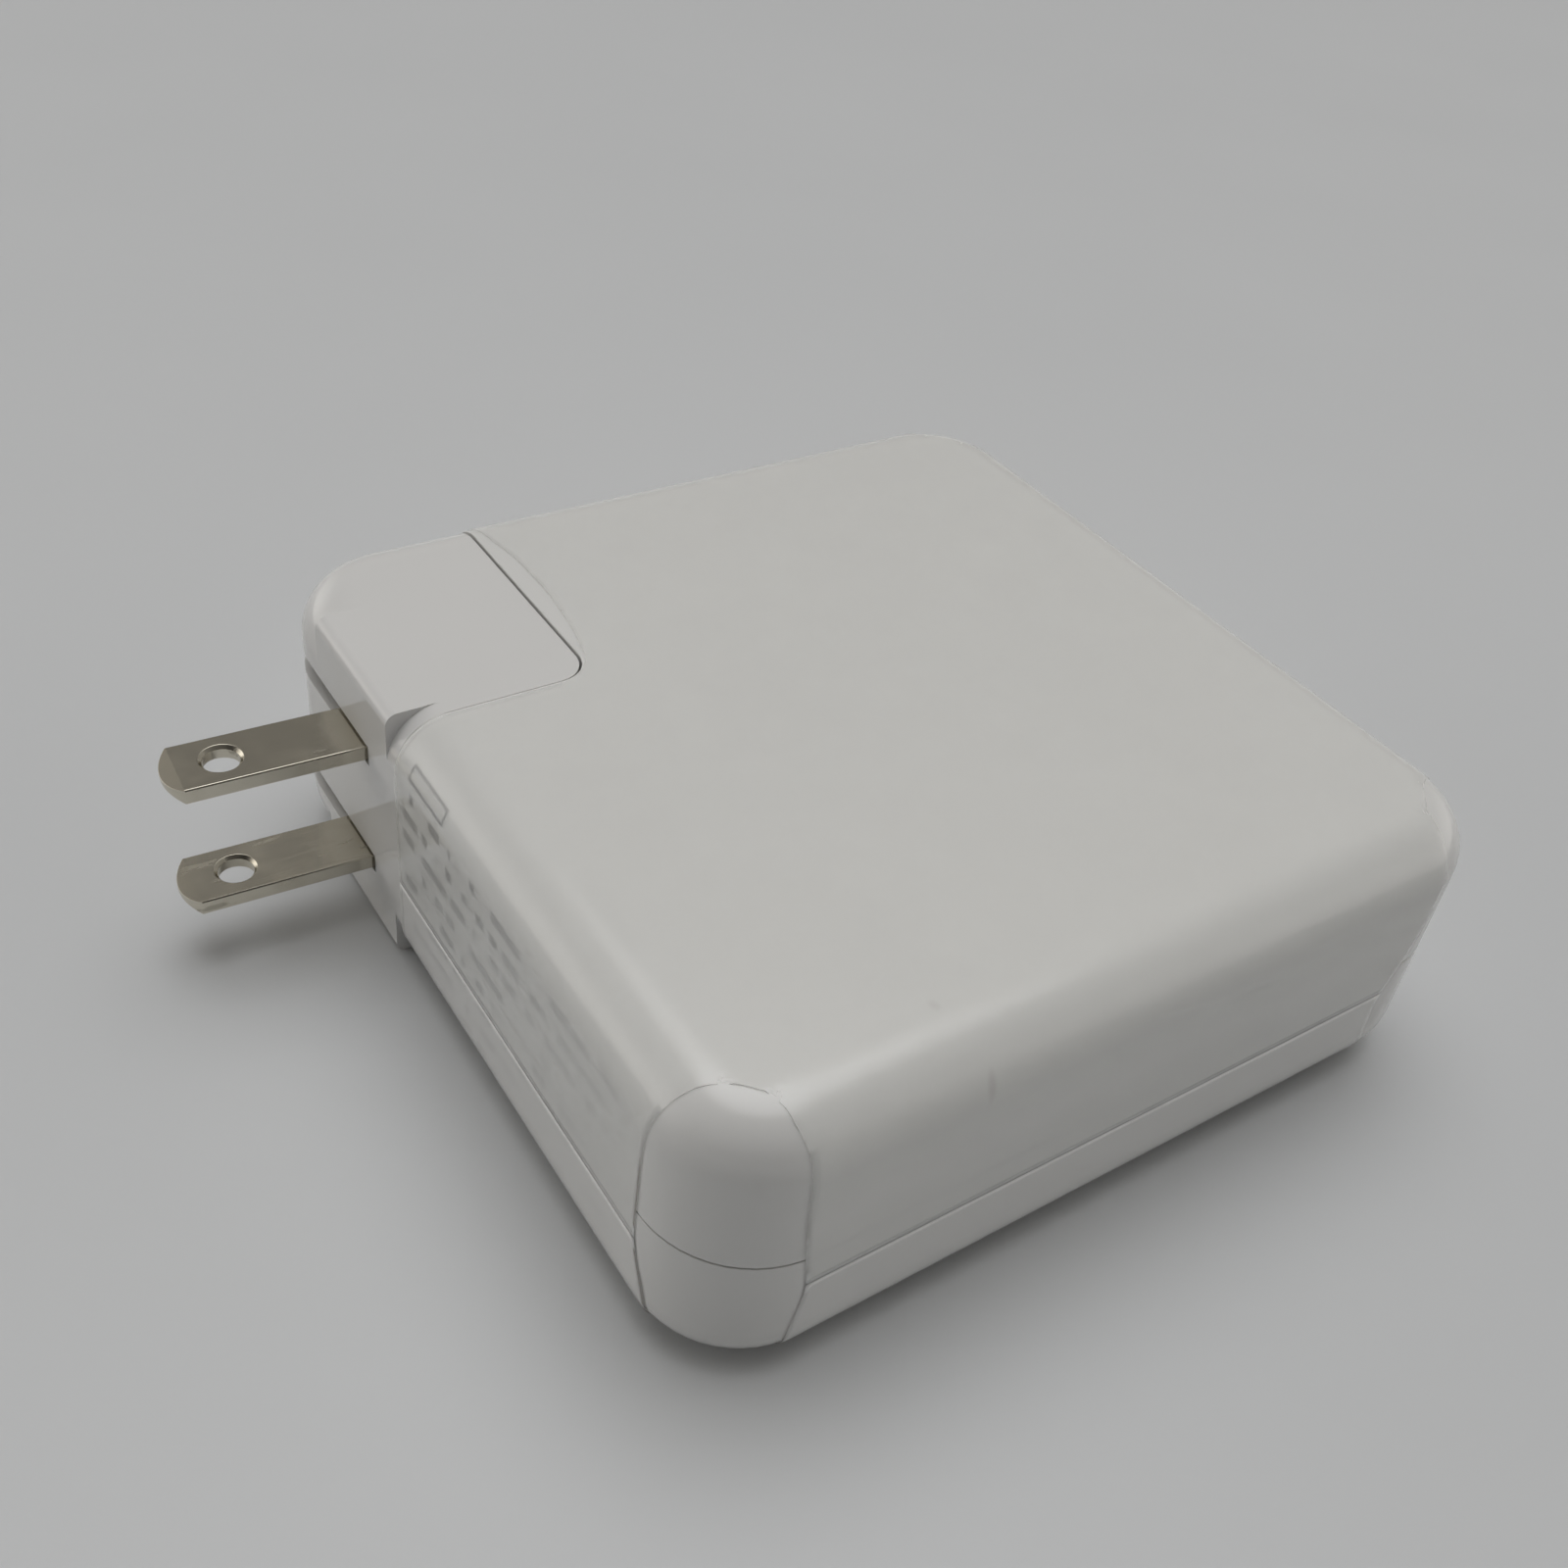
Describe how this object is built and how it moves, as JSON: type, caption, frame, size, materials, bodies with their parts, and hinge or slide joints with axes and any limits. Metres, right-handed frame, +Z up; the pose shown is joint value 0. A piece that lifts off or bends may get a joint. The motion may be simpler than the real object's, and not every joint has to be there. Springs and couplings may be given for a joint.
{
  "type": "laptop wall charger with removable folding-blade corner plug",
  "caption": "Square white laptop wall charger with rounded edges, a slide-off corner plug with folding flat blades, a cable port and clear protective film.",
  "frame": {"origin": "centre of the brick's underside, which is the face it rests on", "axes": "+X towards the cable port's side, blades point to -X; the plug fills the -X +Y corner; +Z up through the brick's thickness"},
  "size_m": [0.0978, 0.0816, 0.028],
  "materials": {
    "case_plastic": "glossy moulded",
    "plug_plastic": "glossy moulded",
    "clear_film": "clear, slightly creased",
    "nickel": "nickel plate, fine scuffs",
    "steel": "brushed",
    "contact_brass": "satin",
    "dark_plastic": "fine matt",
    "board": "solder mask",
    "spreader_metal": "satin",
    "insulating_film": "smooth",
    "ferrite": "dull",
    "copper_winding": "enamelled wire",
    "capacitor_sleeve": "shrink sleeve",
    "capacitor_can": "satin",
    "film_capacitor": "moulded",
    "disc_capacitor": "dipped",
    "component_black": "moulded",
    "fuse_body": "ceramic",
    "lead_black": "insulated",
    "lead_white": "insulated",
    "thermal_pad": "soft"
  },
  "bodies": {
    "brick": {"upper_shell": "case_plastic", "lower_shell": "case_plastic", "upper_film": "clear_film", "lower_film": "clear_film", "inlet_pins": "nickel", "lock_stud": "steel", "port_shell": "steel", "switch_screw": "steel", "inlet_socket": "dark_plastic", "port_tongue": "dark_plastic", "switch_transistor": "dark_plastic", "control_chips": "dark_plastic", "transformer_bobbin": "dark_plastic", "main_board": "board", "output_board": "board", "lower_spreader": "spreader_metal", "upper_spreader": "spreader_metal", "primary_heatsink": "spreader_metal", "secondary_heatsink": "spreader_metal", "insulating_sheet": "insulating_film", "transformer_core_lower": "ferrite", "transformer_core_upper": "ferrite", "coil_core": "ferrite", "choke_core": "ferrite", "transformer_winding": "copper_winding", "coil_winding": "copper_winding", "choke_winding": "copper_winding", "bulk_capacitor": "capacitor_sleeve", "supply_capacitor": "capacitor_sleeve", "output_capacitors": "capacitor_can", "x_capacitor": "film_capacitor", "y_capacitor": "disc_capacitor", "bridge_rectifier": "component_black", "fuse": "fuse_body", "live_lead": "lead_black", "neutral_lead": "lead_white", "thermal_pad": "thermal_pad"},
    "plug": {"plug_housing": "plug_plastic", "rear_cover": "plug_plastic", "lower_sleeve": "contact_brass", "upper_sleeve": "contact_brass", "lower_contact": "contact_brass", "upper_contact": "contact_brass", "detent_spring": "steel"},
    "blades": {"lower_blade": "nickel", "upper_blade": "nickel", "blade_carrier": "dark_plastic"}
  },
  "joints": [
    {"name": "plug_slide", "type": "slide", "parent": "brick", "child": "plug", "axis": [-1, 0, 0], "range_m": [0, 0.024]},
    {"name": "blade_fold", "type": "hinge", "parent": "plug", "child": "blades", "pos_m": [-0.0372, 0.01775, 0.0139], "axis": [0, 0, -1], "range_deg": [-2.8, 87.2]}
  ]
}
